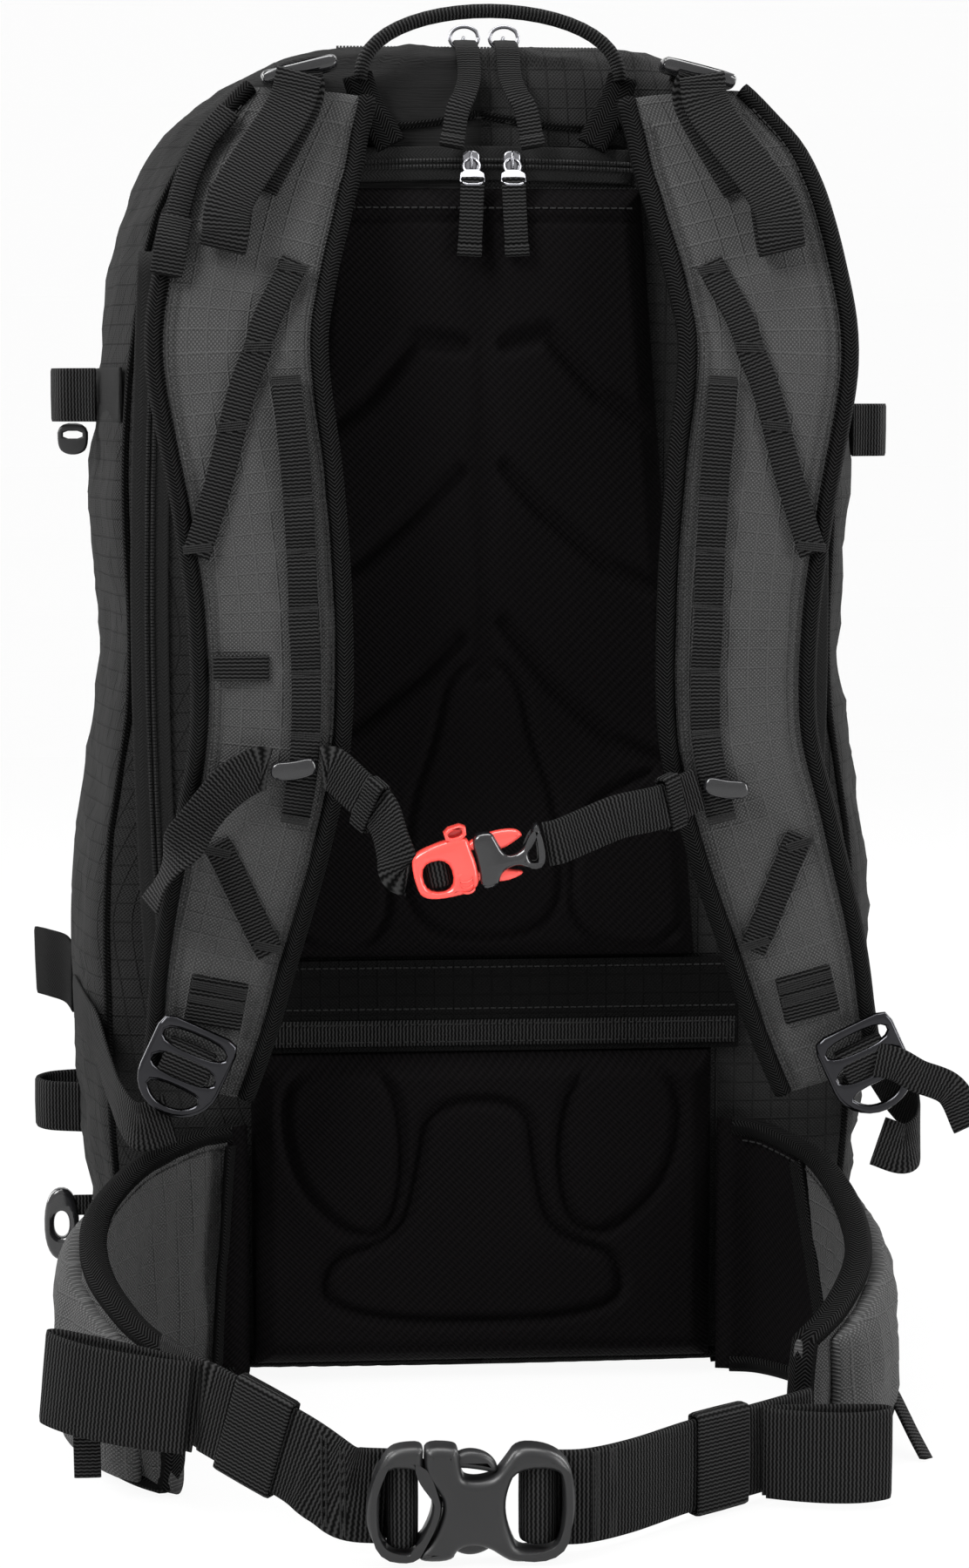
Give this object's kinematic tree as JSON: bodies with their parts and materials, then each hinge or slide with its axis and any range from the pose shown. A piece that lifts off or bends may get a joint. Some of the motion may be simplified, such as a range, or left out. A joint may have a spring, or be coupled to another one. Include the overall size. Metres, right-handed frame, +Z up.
{
  "type": "avalanche airbag backpack",
  "caption": "Ski backpack seen from its harness side, with a packed airbag, gas cartridge and pull trigger, moulded back panel, hip belt with pocket, and quick-release buckles.",
  "frame": {"origin": "centre of the flat base the pack stands on", "axes": "+Z up along the back, -Y out of the harness side towards the wearer, +X to the wearer's left"},
  "size_m": [0.4305, 0.452, 0.6155],
  "materials": {
    "airbag_cloth": "thin coated nylon, folded",
    "alloy": "satin",
    "black_plastic": "satin",
    "cable_jacket": "matt",
    "dark_metal": "dark chrome",
    "gloss_black": "gloss",
    "mesh_foam": "matt moulded foam with a twill knit cover",
    "red_plastic": "gloss",
    "ripstop": "matt, square ripstop grid",
    "sheet_plastic": "matt polyethylene sheet",
    "stay_aluminium": "plain flat bar",
    "steel": "gunmetal",
    "webbing": "ribbed, matt"
  },
  "bodies": {
    "pack": {"airbag": "airbag_cloth", "airbag_shelf": "ripstop", "back_foam": "mesh_foam", "back_wall": "ripstop", "bag_base": "ripstop", "bag_front": "ripstop", "bag_left_side": "ripstop", "bag_right_side": "ripstop", "bag_top": "ripstop", "frame_sheet": "sheet_plastic", "frame_stays": "stay_aluminium", "hip_buckle_female": "black_plastic", "hip_webbing_left": "webbing", "hip_webbing_right": "webbing", "hip_wing_left": "ripstop", "hip_wing_right": "ripstop", "inflator": "alloy", "load_lifter_webbing": "webbing", "lumbar_pad": "mesh_foam", "shoulder_strap_left": "ripstop", "shoulder_strap_right": "ripstop", "side_webbing": "webbing", "sternum_buckle_female": "black_plastic", "sternum_clips": "black_plastic", "sternum_tail": "webbing", "sternum_webbing_left": "webbing", "sternum_webbing_right": "webbing", "strap_trims": "webbing", "strap_webbing": "webbing", "trigger_cable_housing": "cable_jacket", "trigger_wire": "steel", "webbing_keepers": "webbing", "zip_coils": "black_plastic"},
    "hip_male": {"hip_buckle_male": "black_plastic"},
    "hip_arm_upper": {"hip_latch_arm_upper": "black_plastic"},
    "hip_arm_lower": {"hip_latch_arm_lower": "black_plastic"},
    "sternum_male": {"sternum_buckle_male": "red_plastic"},
    "sternum_arm_upper": {"sternum_latch_arm_upper": "red_plastic"},
    "sternum_arm_lower": {"sternum_latch_arm_lower": "red_plastic"},
    "trigger": {"trigger_handle": "red_plastic"},
    "lever": {"valve_lever": "dark_metal"},
    "cartridge": {"gas_cartridge": "alloy"},
    "needle": {"gauge_needle": "red_plastic"},
    "top_slider_left": {"top_slider_left": "steel"},
    "top_pull_left": {"top_pull_left": "webbing"},
    "back_slider_left": {"back_slider_left": "steel"},
    "back_pull_left": {"back_pull_left": "webbing"},
    "top_slider_right": {"top_slider_right": "steel"},
    "top_pull_right": {"top_pull_right": "webbing"},
    "back_slider_right": {"back_slider_right": "steel"},
    "back_pull_right": {"back_pull_right": "webbing"},
    "hip_pocket_slider": {"hip_pocket_slider": "steel"},
    "hip_pocket_pull": {"hip_pocket_pull": "webbing"},
    "handle": {"grab_handle": "webbing"},
    "adjuster_left": {"adjuster_left": "dark_metal"},
    "lifter_left": {"lifter_buckle_left": "gloss_black"},
    "adjuster_right": {"adjuster_right": "dark_metal"},
    "lifter_right": {"lifter_buckle_right": "gloss_black"},
    "hook": {"side_hook": "dark_metal"},
    "toggle": {"cord_toggle": "black_plastic"}
  },
  "joints": [
    {"name": "hip_buckle_release", "type": "slide", "parent": "pack", "child": "hip_male", "axis": [-1, 0, 0], "range_m": [0, 0.045], "deforming": ["hip_webbing_left"]},
    {"name": "hip_latch_upper", "type": "hinge", "parent": "hip_male", "child": "hip_arm_upper", "pos_m": [-0.0364, -0.32815, 0.04023], "axis": [0, 1, 0], "range_deg": [0, 5], "stiffness_Nm_per_rad": 0.02},
    {"name": "hip_latch_lower", "type": "hinge", "parent": "hip_male", "child": "hip_arm_lower", "pos_m": [-0.0364, -0.32815, 0.00817], "axis": [0, -1, 0], "range_deg": [0, 5], "stiffness_Nm_per_rad": 0.02},
    {"name": "sternum_buckle_release", "type": "slide", "parent": "pack", "child": "sternum_male", "axis": [-0.9781, 0, -0.2079], "range_m": [0, 0.035], "deforming": ["sternum_webbing_left"]},
    {"name": "sternum_latch_upper", "type": "hinge", "parent": "sternum_male", "child": "sternum_arm_upper", "pos_m": [-0.02016, -0.18515, 0.25877], "axis": [0, 1, 0], "range_deg": [0, 5], "stiffness_Nm_per_rad": 0.02},
    {"name": "sternum_latch_lower", "type": "hinge", "parent": "sternum_male", "child": "sternum_arm_lower", "pos_m": [-0.01636, -0.18515, 0.24088], "axis": [0, -1, 0], "range_deg": [0, 5], "stiffness_Nm_per_rad": 0.02},
    {"name": "trigger_pull", "type": "slide", "parent": "pack", "child": "trigger", "axis": [0, 0, -1], "range_m": [0, 0.024], "deforming": ["trigger_wire"]},
    {"name": "valve_lever_turn", "type": "hinge", "parent": "pack", "child": "lever", "pos_m": [0.0747, -0.00415, 0.4796], "axis": [-1, 0, 0], "range_deg": [0, 50]},
    {"name": "cartridge_unscrew", "type": "hinge", "parent": "pack", "child": "cartridge", "pos_m": [0.102, 0.00385, 0.4556], "axis": [0, 0, 1], "continuous": true},
    {"name": "gauge_needle_turn", "type": "hinge", "parent": "pack", "child": "needle", "pos_m": [0.102, 0.02585, 0.4756], "axis": [0, 1, 0], "range_deg": [-120, 120]},
    {"name": "top_zip_left", "type": "slide", "parent": "pack", "child": "top_slider_left", "axis": [-1, 0, 0], "range_m": [0, 0.025]},
    {"name": "top_pull_left_lift", "type": "hinge", "parent": "top_slider_left", "child": "top_pull_left", "pos_m": [-0.005, -0.04395, 0.6036], "axis": [-1, 0, 0], "range_deg": [0, 12]},
    {"name": "back_zip_left", "type": "slide", "parent": "pack", "child": "back_slider_left", "axis": [-1, 0, 0], "range_m": [0, 0.035]},
    {"name": "back_pull_left_lift", "type": "hinge", "parent": "back_slider_left", "child": "back_pull_left", "pos_m": [-0.005, -0.09465, 0.5445], "axis": [-1, 0, 0], "range_deg": [0, 80]},
    {"name": "top_zip_right", "type": "slide", "parent": "pack", "child": "top_slider_right", "axis": [1, 0, 0], "range_m": [0, 0.025]},
    {"name": "top_pull_right_lift", "type": "hinge", "parent": "top_slider_right", "child": "top_pull_right", "pos_m": [0.013, -0.04395, 0.6036], "axis": [-1, 0, 0], "range_deg": [0, 12]},
    {"name": "back_zip_right", "type": "slide", "parent": "pack", "child": "back_slider_right", "axis": [1, 0, 0], "range_m": [0, 0.035]},
    {"name": "back_pull_right_lift", "type": "hinge", "parent": "back_slider_right", "child": "back_pull_right", "pos_m": [0.013, -0.09465, 0.5445], "axis": [-1, 0, 0], "range_deg": [0, 80]},
    {"name": "hip_pocket_zip", "type": "slide", "parent": "pack", "child": "hip_pocket_slider", "axis": [0.2595, 0.9658, 0], "range_m": [0, 0.02]},
    {"name": "hip_pocket_pull_lift", "type": "hinge", "parent": "hip_pocket_slider", "child": "hip_pocket_pull", "pos_m": [0.16391, -0.20308, 0.028], "axis": [-0.2595, -0.9658, 0], "range_deg": [0, 40]},
    {"name": "grab_handle_fold", "type": "hinge", "parent": "pack", "child": "handle", "pos_m": [0.004, -0.08509, 0.583], "axis": [1, 0, 0], "range_deg": [-12, 70]},
    {"name": "adjuster_left_tilt", "type": "hinge", "parent": "pack", "child": "adjuster_left", "pos_m": [-0.12524, -0.14342, 0.17413], "axis": [-0.9063, 0, 0.4226], "range_deg": [0, 40]},
    {"name": "load_lifter_left_tilt", "type": "hinge", "parent": "pack", "child": "lifter_left", "pos_m": [-0.08, -0.08815, 0.5855], "axis": [-0.9703, 0, -0.2419], "range_deg": [0, 30]},
    {"name": "adjuster_right_tilt", "type": "hinge", "parent": "pack", "child": "adjuster_right", "pos_m": [0.15823, -0.14342, 0.17116], "axis": [-0.9063, 0, -0.4226], "range_deg": [0, 40]},
    {"name": "load_lifter_right_tilt", "type": "hinge", "parent": "pack", "child": "lifter_right", "pos_m": [0.094, -0.08815, 0.5855], "axis": [-0.9703, 0, 0.2419], "range_deg": [0, 30]},
    {"name": "side_hook_swing", "type": "hinge", "parent": "pack", "child": "hook", "pos_m": [-0.18416, -0.02965, 0.4332], "axis": [1, 0, 0], "range_deg": [-25, 25]},
    {"name": "cord_toggle_swing", "type": "hinge", "parent": "pack", "child": "toggle", "pos_m": [-0.1975, 0.00385, 0.057], "axis": [1, 0, 0], "range_deg": [-45, 45]}
  ],
  "couplings": [
    {"joint": "valve_lever_turn", "follows": "trigger_pull", "rad_per_m": 36.361}
  ]
}
